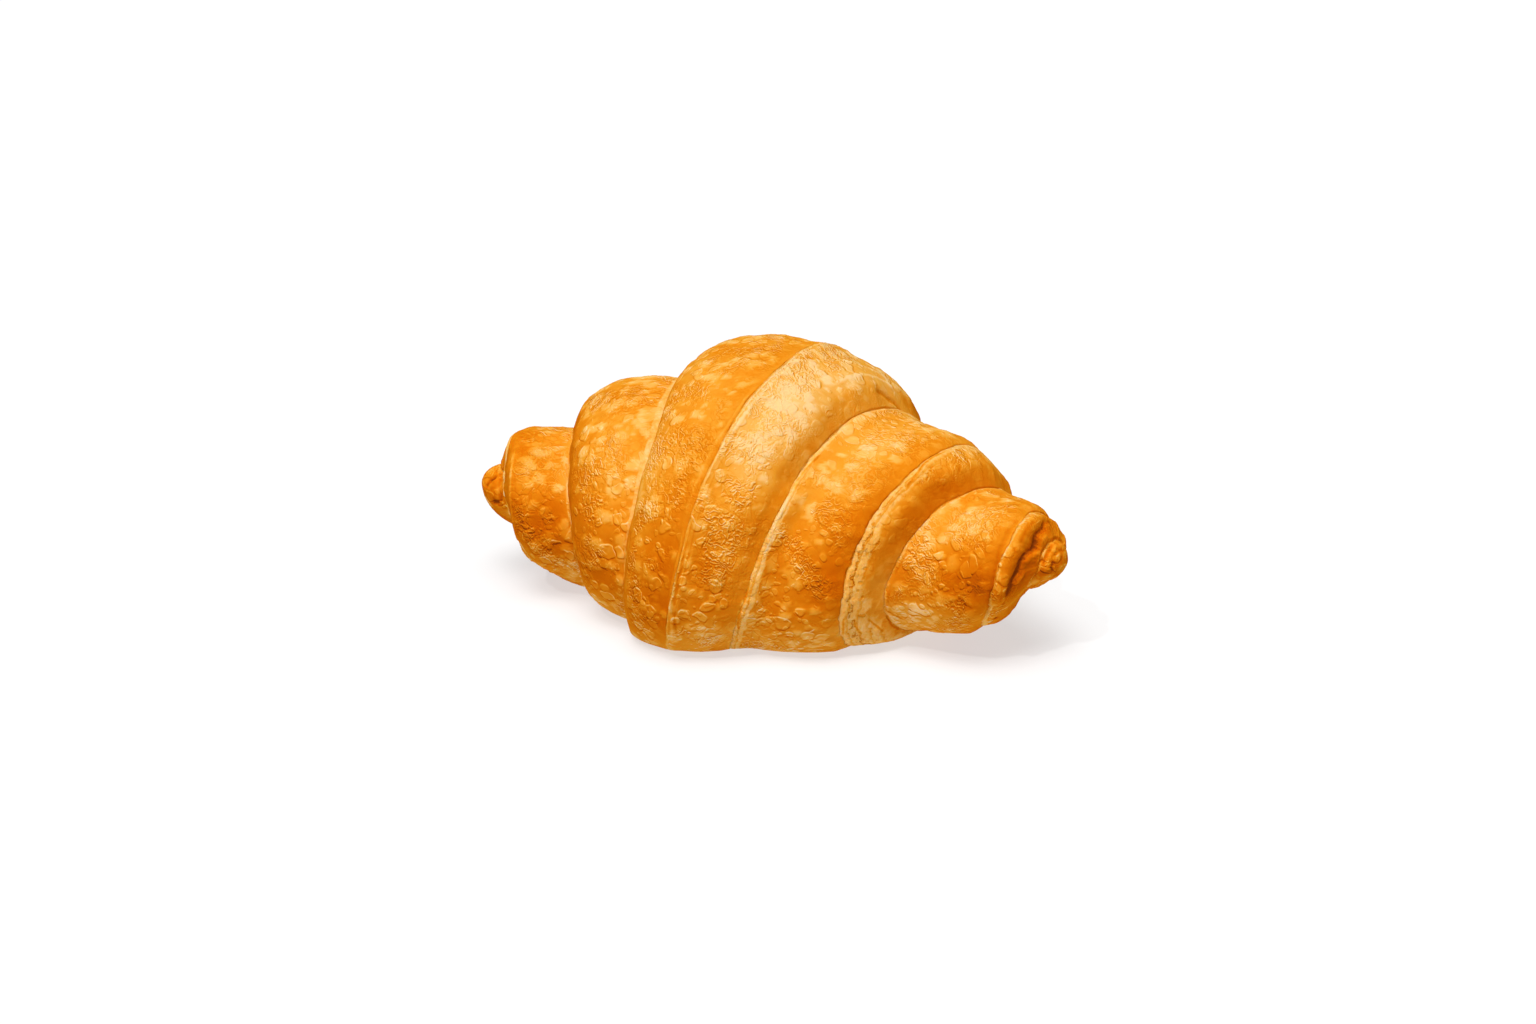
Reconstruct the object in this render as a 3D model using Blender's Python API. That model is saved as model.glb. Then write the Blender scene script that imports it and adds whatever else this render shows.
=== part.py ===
"""Croissant: one sheet of dough rolled into a bent spindle, broad in the middle and stepped
down to a curled nub at each tip.

The body is one closed skin round a bent axis. Its radius at any place is the crown radius less
one step for every turn of dough that has already ended there. The free edges of the sheet run
round the roll as two helices, one winding out to each tip, and each edge is a short fall that
is rounded over at its top. The underside has settled flat on the tray.

X runs along the roll, -Y is the side the tips bend towards, +Z is up, Z = 0 is the tray.
"""

import math
from typing import NamedTuple

import bmesh
import bpy
import numpy as np

MM = 0.001

# The roll as a whole
AXIS_LENGTH = 125 * MM
AXIS_BEND = math.radians(32)
AXIS_HEIGHT = 14.5 * MM
TIP_RISE = 6 * MM
CROWN_RADIUS = 41 * MM

# The section as factors of the radius: its width, and its underside, which is sat down in the
# middle of the roll and round again at the tips
WIDTH_FACTOR = 0.96
UNDER_FACTOR = 0.62
SETTLED_ROUNDING = 4 * MM

# The curled nub left at each tip once every turn has ended, and how far its end is rounded
RIGHT_NUB = 4.5 * MM
RIGHT_NUB_ROUNDING = 8 * MM
LEFT_NUB = 5.5 * MM
LEFT_NUB_ROUNDING = 9 * MM

# The skin's facets: round the roll and along it
FACETS_ROUND = 52
FACETS_ALONG = 92
PROFILE_SAMPLES = 1500

CRUST_COLOUR = (0.62, 0.29, 0.075, 1.0)
CRUST_ROUGHNESS = 0.42


class Turn(NamedTuple):
    """One turn of the free edge, in millimetres along the axis from the middle of the roll."""

    top: float
    front: float
    under: float
    step_top: float
    step_under: float
    roll_over: float


# From the tip inwards. The steps are shares of the whole fall from crown to nub.
RIGHT_TURNS = (
    Turn(top=60.5, front=60.5, under=53.5, step_top=16.5, step_under=16.5, roll_over=5),
    Turn(top=55.5, front=53.0, under=45.5, step_top=3.5, step_under=6.0, roll_over=19),
    Turn(top=42.0, front=32.0, under=32.0, step_top=13.5, step_under=15.0, roll_over=5),
    Turn(top=35.5, front=25.5, under=22.0, step_top=8.0, step_under=13.5, roll_over=24),
    Turn(top=17.5, front=6.0, under=-7.5, step_top=20.0, step_under=7.0, roll_over=12),
    Turn(top=4.0, front=-9.0, under=-18.0, step_top=3.5, step_under=3.5, roll_over=24),
)
LEFT_TURNS = (
    Turn(top=-58.5, front=-56.0, under=-54.0, step_top=7.5, step_under=7.5, roll_over=4),
    Turn(top=-55.5, front=-55.5, under=-43.5, step_top=2.0, step_under=2.0, roll_over=24),
    Turn(top=-43.5, front=-39.5, under=-35.5, step_top=15.5, step_under=8.5, roll_over=17),
    Turn(top=-21.0, front=-23.5, under=-30.0, step_top=13.0, step_under=8.5, roll_over=22),
)


def rounded(share):
    """A quarter round: 0 at the foot of a step, 1 where it has rolled over."""
    share = np.clip(share, 0.0, 1.0)
    return np.sqrt(share * (2.0 - share))


def smooth_line(at, knots, values):
    """A smooth line through the knots, held level beyond the first and the last."""
    slopes = np.gradient(values, knots)
    at = np.clip(at, knots[0], knots[-1])
    left = np.clip(np.searchsorted(knots, at, side="right") - 1, 0, len(knots) - 2)
    width = knots[left + 1] - knots[left]
    u = (at - knots[left]) / width
    near = (1 + 2 * u) * (1 - u) ** 2 * values[left] + u * (1 - u) ** 2 * width * slopes[left]
    far = u * u * (3 - 2 * u) * values[left + 1] + u * u * (u - 1) * width * slopes[left + 1]
    return near + far


class Winding:
    """The free edge that winds out to one tip, counted in turns from the first in its list."""

    def __init__(self, turns, nub, towards):
        count = np.arange(len(turns))
        self.count = len(turns)
        self.nub = nub
        self.towards = towards
        self.knots = np.add.outer(count, [0.0, 0.25, 0.5]).ravel()
        self.places = np.ravel([[t.top, t.front, t.under] for t in turns]) * MM
        steps = np.ravel([[t.step_top, t.step_under] for t in turns]) * MM
        full = np.add.outer(count, [0.05, 0.4]).ravel()
        self.step_knots = np.concatenate([[-0.5], full, [self.count - 0.5]])
        self.steps = np.concatenate([[0.0], steps, [0.0]])
        self.roll_knots = count + 0.15
        self.rolls = np.array([t.roll_over for t in turns]) * MM

    def share(self, along, angle):
        """How much of the full radius is left at a place, from every turn that still covers it."""
        covered = np.full(np.shape(along), self.nub)
        whole = covered.copy()
        for turn in range(self.count):
            wound = turn + angle / math.tau
            step = np.interp(wound, self.step_knots, self.steps)
            inside = self.towards * (smooth_line(wound, self.knots, self.places) - along)
            covered += step * rounded(inside / np.interp(wound, self.roll_knots, self.rolls))
            whole += step
        return covered / whole


RIGHT = Winding(RIGHT_TURNS, RIGHT_NUB, 1)
LEFT = Winding(LEFT_TURNS, LEFT_NUB, -1)


def axis_height(along):
    """The axis dips in the middle, so that both tips are lifted off the tray."""
    return AXIS_HEIGHT + TIP_RISE * (2 * along / AXIS_LENGTH) ** 2


def under_factor(along):
    """How far the underside reaches down, as a share of the radius."""
    return UNDER_FACTOR + (1 - UNDER_FACTOR) * (2 * along / AXIS_LENGTH) ** 2


def skin_radius(along, angle):
    """Distance from axis to skin. Angle 0 is the top and a quarter turn is the front."""
    radius = CROWN_RADIUS * RIGHT.share(along, angle) * LEFT.share(along, angle)
    radius *= rounded((AXIS_LENGTH / 2 - along) / RIGHT_NUB_ROUNDING)
    radius *= rounded((AXIS_LENGTH / 2 + along) / LEFT_NUB_ROUNDING)
    downwards = np.maximum(-np.cos(angle) * under_factor(along), 1e-6)
    tray = axis_height(along) / downwards
    overlap = np.maximum(SETTLED_ROUNDING - np.abs(radius - tray), 0.0)
    return np.minimum(radius, tray) - overlap**2 / (4 * SETTLED_ROUNDING)


def skin_point(along, angle, radius):
    """The point at this radius, square to the bent axis."""
    bend_radius = AXIS_LENGTH / AXIS_BEND
    turned = along / bend_radius
    out = radius * np.sin(angle) * WIDTH_FACTOR
    up = radius * np.cos(angle)
    x = (bend_radius - out) * np.sin(turned)
    y = (bend_radius - out) * np.cos(turned) - bend_radius
    z = axis_height(along) + np.where(up < 0, up * under_factor(along), up)
    return np.stack([x, y, np.maximum(z, 0.0)], axis=-1)


def even_stations(angle, shares):
    """Places along the roll that share out the length of the skin's profile at one angle."""
    along = np.linspace(-AXIS_LENGTH / 2, AXIS_LENGTH / 2, PROFILE_SAMPLES)
    radius = skin_radius(along, np.full_like(along, angle))
    walked = np.concatenate([[0.0], np.cumsum(np.hypot(np.diff(along), np.diff(radius)))])
    return np.interp(shares * walked[-1], walked, along)


def roll_skin(mesh):
    """Carry every vertex of a ball out to the skin of the roll, its poles to the two tips."""
    ball = np.array([vertex.co for vertex in mesh.verts])
    share = 1 - np.arccos(np.clip(ball[:, 2], -1, 1)) / math.pi
    angle = np.round(np.arctan2(ball[:, 1], ball[:, 0]), 5)
    along = np.empty(len(ball))
    for value in np.unique(angle):
        column = angle == value
        along[column] = even_stations(value, share[column])
    points = skin_point(along, angle, skin_radius(along, angle))
    points[:, :2] -= (points[:, :2].min(axis=0) + points[:, :2].max(axis=0)) / 2
    for vertex, point in zip(mesh.verts, points):
        vertex.co = point


def crust_material():
    material = bpy.data.materials.new("crust")
    material.use_nodes = True
    shader = material.node_tree.nodes["Principled BSDF"]
    shader.inputs["Base Color"].default_value = CRUST_COLOUR
    shader.inputs["Roughness"].default_value = CRUST_ROUGHNESS
    return material


for old in list(bpy.data.objects):
    bpy.data.objects.remove(old, do_unlink=True)

skin = bmesh.new()
bmesh.ops.create_uvsphere(skin, u_segments=FACETS_ROUND, v_segments=FACETS_ALONG, radius=1.0)
roll_skin(skin)

data = bpy.data.meshes.new("croissant")
skin.to_mesh(data)
skin.free()
data.materials.append(crust_material())

croissant = bpy.data.objects.new("croissant", data)
collection = bpy.data.collections.new("Croissant")
bpy.context.scene.collection.children.link(collection)
collection.objects.link(croissant)
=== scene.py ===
import math
from typing import NamedTuple

import bmesh
import bpy
import numpy as np
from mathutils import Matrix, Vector, noise


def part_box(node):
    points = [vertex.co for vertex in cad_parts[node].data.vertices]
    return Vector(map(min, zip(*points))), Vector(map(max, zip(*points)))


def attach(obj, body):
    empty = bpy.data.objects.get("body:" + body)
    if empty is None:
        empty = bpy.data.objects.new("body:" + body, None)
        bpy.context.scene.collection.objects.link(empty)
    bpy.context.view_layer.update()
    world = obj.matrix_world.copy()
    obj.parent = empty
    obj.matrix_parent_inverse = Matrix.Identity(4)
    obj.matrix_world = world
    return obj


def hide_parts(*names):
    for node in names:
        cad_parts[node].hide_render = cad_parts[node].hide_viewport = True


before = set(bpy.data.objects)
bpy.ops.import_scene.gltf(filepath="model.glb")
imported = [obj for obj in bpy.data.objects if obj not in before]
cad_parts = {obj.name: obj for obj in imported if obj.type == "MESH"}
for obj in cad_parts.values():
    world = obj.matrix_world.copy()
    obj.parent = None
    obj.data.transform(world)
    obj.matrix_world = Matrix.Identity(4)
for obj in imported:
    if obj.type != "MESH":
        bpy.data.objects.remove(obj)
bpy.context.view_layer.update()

# ---------------------------------------------------------------------------------------------
# The crust: a triangle of layered dough rolled up from its broad end, bent, egg washed and baked.
# Its free edges wind out to the tips as thin lips that lap over the turn below, six to the right
# and four to the left. The wash has blistered, and the dough that tore beside the lips is pale.
# ---------------------------------------------------------------------------------------------

MM = 0.001

AXIS_LENGTH = 125 * MM
AXIS_BEND = math.radians(32)
AXIS_HEIGHT = 14.5 * MM
TIP_RISE = 6 * MM
CROWN_RADIUS = 41 * MM

WIDTH_FACTOR = 0.96
UNDER_FACTOR = 0.62
UNDER_RIGHT_TIP = 0.3
RIGHT_TIP_FROM = 50 * MM
SETTLED_ROUNDING = 4 * MM

NUB_RISE = 1.6 * MM
NUB_FROM = 56 * MM
NUB_TO = 60 * MM
RIGHT_NUB = 7.6 * MM
RIGHT_NUB_ROUNDING = 3.6 * MM
LEFT_NUB = 5.5 * MM
LEFT_NUB_ROUNDING = 9 * MM


class Turn(NamedTuple):
    """One turn of the free edge, in millimetres along the axis from the middle of the roll.

    edge, pale, sheets and fray are given at the top, the front and the underside, step at the
    top and the underside. The edge steps down within roll_over, pale is how wide the stretched
    dough shows beyond it, sheets how far the ends of thin sheets show, leaf apart and rise
    high, and fray how torn they are. fill is how much dough fills the foot of the step, and lip
    how far the edge stands up.
    """

    edge: tuple
    step: tuple
    roll_over: float
    pale: tuple = (1.0, 1.0, 1.0)
    sheets: tuple = (0.0, 0.0, 0.0)
    fray: tuple = (0.2, 0.2, 0.2)
    leaf: float = 1.5
    rise: float = 0.15
    fill: float = 0.0
    lip: float = 0.25


RIGHT_TURNS = (
    Turn(edge=(59.6, 59.4, 53.5), step=(13.4, 13.4), roll_over=6, pale=(0.4, 0.4, 0.4), lip=0.7),
    Turn(edge=(55.3, 54.4, 45.5), step=(3.5, 6.0), roll_over=19, pale=(0.3, 0.3, 2.0),
         fray=(0.3, 0.4, 0.6), lip=0.1),
    Turn(edge=(42.0, 32.0, 32.0), step=(13.5, 11.0), roll_over=5, pale=(0.2, 0.3, 1.5),
         fill=1.0, lip=0.05),
    Turn(edge=(35.5, 25.5, 22.0), step=(8.0, 13.5), roll_over=24, pale=(1.4, 4.0, 11.0),
         sheets=(1.4, 4.0, 11.0), fray=(0.5, 0.9, 1.0), leaf=1.9, rise=0.3, fill=1.0, lip=0.15),
    Turn(edge=(17.5, 6.0, -7.5), step=(20.0, 7.0), roll_over=12, pale=(0.5, 2.4, 1.4),
         sheets=(0.5, 2.4, 1.4), fray=(0.3, 0.6, 0.5), leaf=1.3, rise=0.3, fill=1.7, lip=0.06),
    Turn(edge=(4.0, -9.0, -18.0), step=(3.5, 3.5), roll_over=24, pale=(0.5, 0.4, 0.9),
         sheets=(1.8, 2.6, 2.8), fray=(0.5, 0.4, 0.2), leaf=1.0, rise=0.22, fill=1.3, lip=0.06),
)
LEFT_TURNS = (
    Turn(edge=(-58.5, -56.0, -54.0), step=(7.5, 7.5), roll_over=4, pale=(0.4, 0.4, 0.4)),
    Turn(edge=(-55.5, -55.5, -43.5), step=(2.0, 2.0), roll_over=24, pale=(0.8, 0.8, 0.8),
         sheets=(2.2, 2.2, 2.2), leaf=1.1, rise=0.3, lip=0.3),
    Turn(edge=(-43.5, -39.5, -35.5), step=(15.5, 8.5), roll_over=17, pale=(0.3, 0.4, 0.5),
         fill=0.4, lip=0.25),
    Turn(edge=(-21.0, -23.5, -30.0), step=(13.0, 8.5), roll_over=22, pale=(2.2, 0.4, 0.2),
         fill=0.3, lip=0.12),
)

FOOT_WIDTH = 2.4 * MM
FILL_BEYOND = 3.2 * MM
FILL_UNDER = 1.6 * MM
LIP_WIDTH = 0.3 * MM
LIP_FADE = 1.6 * MM
LIP_OVERHANG = 0.3 * MM
GROOVE_DEPTH = 0.06 * MM
GROOVE_WIDTH = 0.35 * MM
NEAR_EDGE = 6.0 * MM


def rounded(share):
    """A quarter round: 0 at the foot of a step, 1 where it has rolled over."""
    share = np.clip(share, 0.0, 1.0)
    return np.sqrt(share * (2.0 - share))


def eased(low, high, value):
    """0 below low, 1 above high, smooth between."""
    share = np.clip((value - low) / (high - low), 0.0, 1.0)
    return share * share * (3.0 - 2.0 * share)


def bell(value, width):
    """1 at nothing, fading to 0 past about two widths to either side."""
    return np.exp(-((value / width) ** 2))


def smooth_line(at, knots, values):
    """A smooth line through the knots, held level beyond the first and the last."""
    slopes = np.gradient(values, knots)
    at = np.clip(at, knots[0], knots[-1])
    left = np.clip(np.searchsorted(knots, at, side="right") - 1, 0, len(knots) - 2)
    width = knots[left + 1] - knots[left]
    u = (at - knots[left]) / width
    near = (1 + 2 * u) * (1 - u) ** 2 * values[left] + u * (1 - u) ** 2 * width * slopes[left]
    far = u * u * (3 - 2 * u) * values[left + 1] + u * u * (u - 1) * width * slopes[left + 1]
    return near + far


class Winding:
    """The free edge that winds out to one tip, counted in turns from the first in its list."""

    def __init__(self, turns, nub, towards):
        count = np.arange(len(turns))
        self.count = len(turns)
        self.nub = nub
        self.towards = towards
        self.knots = np.add.outer(count, [0.0, 0.25, 0.5]).ravel()
        self.edges = np.ravel([turn.edge for turn in turns]) * MM
        self.pales = np.ravel([turn.pale for turn in turns]) * MM
        self.sheets = np.ravel([turn.sheets for turn in turns]) * MM
        self.frays = np.ravel([turn.fray for turn in turns])
        full = np.add.outer(count, [0.05, 0.4]).ravel()
        self.step_knots = np.concatenate([[-0.5], full, [self.count - 0.5]])
        self.steps = np.concatenate([[0.0], np.ravel([turn.step for turn in turns]) * MM, [0.0]])
        self.middles = count + 0.15
        self.rolls = np.array([turn.roll_over for turn in turns]) * MM
        self.leaves = np.array([turn.leaf for turn in turns]) * MM
        self.rises = np.array([turn.rise for turn in turns]) * MM
        self.fills = np.array([turn.fill for turn in turns]) * MM
        self.lips = np.array([turn.lip for turn in turns]) * MM

    def inside(self, along, angle, turn):
        """How far a place lies under this turn from its edge. Beyond the edge it is negative.

        The edge wavers all round, and it is jagged where it frays.
        """
        wound = turn + angle / math.tau
        fray = np.interp(wound, self.knots, self.frays)
        waver = 0.22 * np.sin(wound * 29.0 + self.towards) + 0.14 * np.sin(wound * 71.0 + 2.0)
        waver += fray * (0.13 * np.sin(wound * 173.0) + 0.1 * np.sin(wound * 331.0 + 1.0))
        edge = smooth_line(wound, self.knots, self.edges) + waver * MM
        return self.towards * (edge - along)

    def share(self, along, angle):
        """How much of the full radius is left at a place, from every turn that still covers it."""
        covered = np.full(np.shape(along), self.nub)
        whole = covered.copy()
        for turn in range(self.count):
            wound = turn + angle / math.tau
            step = np.interp(wound, self.step_knots, self.steps)
            roll = np.interp(wound, self.middles, self.rolls)
            inside = self.inside(along, angle, turn)
            covered += step * rounded(inside / roll) * np.sqrt(eased(0, FOOT_WIDTH, inside))
            whole += step
        return covered / whole

    def present(self, angle, turn):
        """1 where this turn has an edge, 0 before the first and after the last."""
        wound = turn + angle / math.tau
        return eased(-0.5, -0.2, wound) * (1 - eased(self.count - 0.75, self.count - 0.5, wound))

    def trim(self, along, angle):
        """Height of the lip that ends each turn, its groove, and the dough that fills the foot."""
        height = np.zeros(np.shape(along))
        for turn in range(self.count):
            wound = turn + angle / math.tau
            inside = self.inside(along, angle, turn)
            lip = np.interp(wound, self.middles, self.lips)
            fill = np.interp(wound, self.middles, self.fills)
            ledge = eased(0, LIP_WIDTH, inside) * np.exp(-np.maximum(inside, 0) / LIP_FADE)
            groove = bell(inside, np.where(inside < 0, GROOVE_WIDTH, 0.3 * GROOVE_WIDTH))
            foot = bell(inside, np.where(inside < 0, FILL_BEYOND, FILL_UNDER))
            change = lip * ledge - GROOVE_DEPTH * groove + fill * foot
            height += self.present(angle, turn) * change
        return height

    def overhang(self, along, angle):
        """How far the lip leans out over its groove."""
        lean = np.zeros(np.shape(along))
        for turn in range(self.count):
            inside = self.inside(along, angle, turn)
            lean += self.present(angle, turn) * eased(0, LIP_WIDTH, inside) * bell(inside, 2 * MM)
        return self.towards * LIP_OVERHANG * lean

    def surroundings(self, along, angle):
        """Distances beyond and under the nearest edges, with what the inboard one is like."""
        beyond = np.full(np.shape(along), NEAR_EDGE * 3)
        under = np.full(np.shape(along), NEAR_EDGE)
        pale, sheets, fray, leaf, rise = (np.zeros(np.shape(along)) for _ in range(5))
        for turn in range(self.count):
            wound = turn + angle / math.tau
            inside = self.inside(along, angle, turn)
            here = self.present(angle, turn)
            closer = (inside < 0) & (-inside < beyond) & (here > 0.3)
            beyond = np.where(closer, -inside, beyond)
            pale = np.where(closer, here * np.interp(wound, self.knots, self.pales), pale)
            sheets = np.where(closer, here * np.interp(wound, self.knots, self.sheets), sheets)
            fray = np.where(closer, here * np.interp(wound, self.knots, self.frays), fray)
            leaf = np.where(closer, np.interp(wound, self.middles, self.leaves), leaf)
            rise = np.where(closer, here * np.interp(wound, self.middles, self.rises), rise)
            under = np.where((inside >= 0) & (inside < under) & (here > 0.3), inside, under)
        return beyond, under, pale, sheets, fray, leaf, rise

    def covers(self, along, angle):
        """How many turns lie over a place."""
        return sum((self.inside(along, angle, turn) > 0).astype(int) for turn in range(self.count))


RIGHT = Winding(RIGHT_TURNS, RIGHT_NUB, 1)
LEFT = Winding(LEFT_TURNS, LEFT_NUB, -1)


def axis_height(along):
    """Height of the axis, which climbs to both tips and once more at the right nub."""
    height = AXIS_HEIGHT + TIP_RISE * (2 * along / AXIS_LENGTH) ** 2
    return height + NUB_RISE * eased(NUB_FROM, NUB_TO, along)


def under_factor(along):
    """How deep the roll is under its axis, as a share of its height over it."""
    towards_tips = (1 - UNDER_FACTOR) * (2 * along / AXIS_LENGTH) ** 2
    return UNDER_FACTOR + towards_tips - UNDER_RIGHT_TIP * eased(RIGHT_TIP_FROM, NUB_TO, along)


def skin_radius(along, angle):
    """Distance from axis to skin. Angle 0 is the top and a quarter turn is the front."""
    radius = CROWN_RADIUS * RIGHT.share(along, angle) * LEFT.share(along, angle)
    radius += RIGHT.trim(along, angle) + LEFT.trim(along, angle)
    radius *= rounded((AXIS_LENGTH / 2 - along) / RIGHT_NUB_ROUNDING)
    radius *= rounded((AXIS_LENGTH / 2 + along) / LEFT_NUB_ROUNDING)
    downwards = np.maximum(-np.cos(angle) * under_factor(along), 1e-6)
    tray = axis_height(along) / downwards
    overlap = np.maximum(SETTLED_ROUNDING - np.abs(radius - tray), 0.0)
    return np.minimum(radius, tray) - overlap**2 / (4 * SETTLED_ROUNDING)


def skin_point(along, angle, radius):
    """The point at this radius, square to the bent axis."""
    bend_radius = AXIS_LENGTH / AXIS_BEND
    turned = (along + RIGHT.overhang(along, angle) + LEFT.overhang(along, angle)) / bend_radius
    out = radius * np.sin(angle) * WIDTH_FACTOR
    up = radius * np.cos(angle)
    x = (bend_radius - out) * np.sin(turned)
    y = (bend_radius - out) * np.cos(turned) - bend_radius
    z = axis_height(along) + np.where(up < 0, up * under_factor(along), up)
    return np.stack([x, y, np.maximum(z, 0.0)], axis=-1)


CRUST_ROUND = 330
CRUST_ALONG = 296
PROFILE_SAMPLES = 2400
TOP_CROWDING = 0.25
EDGE_CROWDING = 2.5
EDGE_REACH = 1.2 * MM


def even_stations(angle, shares):
    """Places along the roll that share out the profile's length, crowded round the edges."""
    along = np.linspace(-AXIS_LENGTH / 2, AXIS_LENGTH / 2, PROFILE_SAMPLES)
    angles = np.full_like(along, angle)
    radius = skin_radius(along, angles)
    crowd = np.ones_like(along)
    for winding in (RIGHT, LEFT):
        for turn in range(winding.count):
            near = winding.inside(along, angles, turn)
            crowd += EDGE_CROWDING * winding.present(angles, turn) * bell(near, EDGE_REACH)
    paces = np.hypot(np.diff(along), np.diff(radius)) * (crowd[1:] + crowd[:-1]) / 2
    walked = np.concatenate([[0.0], np.cumsum(paces)])
    return np.interp(shares * walked[-1], walked, along)


def roll_out(mesh):
    """Carry a ball out to the skin: where each vertex lies along the roll, and its angle."""
    ball = np.array([vertex.co for vertex in mesh.verts])
    share = 1 - np.arccos(np.clip(ball[:, 2], -1, 1)) / math.pi
    turned = np.round(np.arctan2(ball[:, 1], ball[:, 0]), 5)
    along = np.empty(len(ball))
    angle = turned - TOP_CROWDING * np.sin(turned)
    for value in np.unique(turned):
        column = turned == value
        along[column] = even_stations(value - TOP_CROWDING * math.sin(value), share[column])
    return along, angle


crust_mesh = bmesh.new()
crust_mesh.loops.layers.uv.new("OFBake")
bmesh.ops.create_uvsphere(
    crust_mesh, u_segments=CRUST_ROUND, v_segments=CRUST_ALONG, radius=1.0, calc_uvs=True
)
along, angle = roll_out(crust_mesh)
points = skin_point(along, angle, skin_radius(along, angle))
cad_low, cad_high = (np.array(corner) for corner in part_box("croissant"))
shift = (cad_low + cad_high) / 2 - (points.min(axis=0) + points.max(axis=0)) / 2
shift[2] = 0.0
points += shift
for vertex, point in zip(crust_mesh.verts, points):
    vertex.co = point
crust_mesh.normal_update()
normals = np.array([vertex.normal for vertex in crust_mesh.verts])

LUMP_SIZE = 8 * MM
LUMP_HEIGHT = 0.4 * MM
DIMPLE_SIZE = 1.9 * MM
DIMPLE_HEIGHT = 0.04 * MM
BLISTER_SIZE = 2.6 * MM
BLISTER_HEIGHT = 0.15 * MM
PIMPLE_SIZE = 1.4 * MM
PIMPLE_HEIGHT = 0.06 * MM
PUCKER_SIZE = 3.2 * MM
PUCKER_HEIGHT = 0.05 * MM
BUBBLE_BOLDNESS = 1.6
JAG_SIZE = 1.6 * MM
JAG_REACH = 0.7 * MM
CRACK_SHARE = 0.42
CRACK_DEPTH = 0.3 * MM
CRACK_WIDTH = 0.35 * MM
CALM_TIPS = (53 * MM, 58 * MM)
GROUNDED = (0.2 * MM, 3.0 * MM)
CLEAR_OF_LIP = (0.5, 4.5)


class Bubble(NamedTuple):
    """One large flat bubble: its middle in millimetres and degrees, half its length and width."""

    along: float
    angle: float
    length: float
    width: float


BUBBLES = (
    Bubble(-48.8, 31, 2.2, 1.1),
    Bubble(-45.4, 24, 0.8, 0.8),
    Bubble(-36.8, 43, 1.2, 1.4),
    Bubble(-48.7, 75, 1.0, 0.8),
    Bubble(-28.5, 70, 1.3, 1.0),
    Bubble(-30.9, 82, 2.1, 1.3),
    Bubble(-27.2, 89, 1.2, 1.0),
    Bubble(-31.8, 93, 1.8, 1.1),
    Bubble(-25.2, 96, 1.1, 1.3),
    Bubble(-40.1, 118, 0.9, 1.0),
    Bubble(-45.0, 117, 1.2, 0.8),
    Bubble(-13.5, 84, 0.8, 0.8),
    Bubble(-11.0, 97, 1.0, 0.9),
    Bubble(-4.2, 86, 1.2, 0.9),
    Bubble(6.0, 91, 1.4, 1.0),
    Bubble(-50.5, 44, 1.0, 0.8),
    Bubble(-43.6, 60, 1.1, 0.9),
    Bubble(-41.5, 84, 1.0, 1.3),
    Bubble(-50.0, 100, 0.9, 0.8),
    Bubble(-37.5, 30, 1.3, 0.9),
    Bubble(-33.0, 38, 0.9, 0.8),
    Bubble(-35.2, 104, 1.0, 0.8),
    Bubble(-22.4, 82, 0.9, 0.8),
    Bubble(-14.8, 66, 1.0, 0.8),
    Bubble(-16.2, 96, 1.1, 0.9),
    Bubble(-18.0, 30, 1.3, 1.0),
    Bubble(-10.5, 20, 1.4, 0.9),
    Bubble(-8.5, 76, 0.8, 0.8),
    Bubble(1.5, 83, 1.0, 0.9),
    Bubble(16.5, 84, 1.0, 0.8),
    Bubble(21.0, 97, 1.2, 0.9),
    Bubble(14.5, 100, 1.1, 1.0),
    Bubble(22.5, 20, 1.3, 0.9),
    Bubble(42.5, 66, 1.0, 0.8),
    Bubble(46.5, 96, 1.0, 0.8),
)


class Fold(NamedTuple):
    """A ridge or a groove drawn through places on the skin, each in millimetres and degrees.

    Height is negative for a groove. Tone is positive where it is browner, mostly painted shade in
    the grooves, and negative for a painted highlight on the ridges.
    """

    places: tuple
    width: float
    height: float
    tone: float


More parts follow.
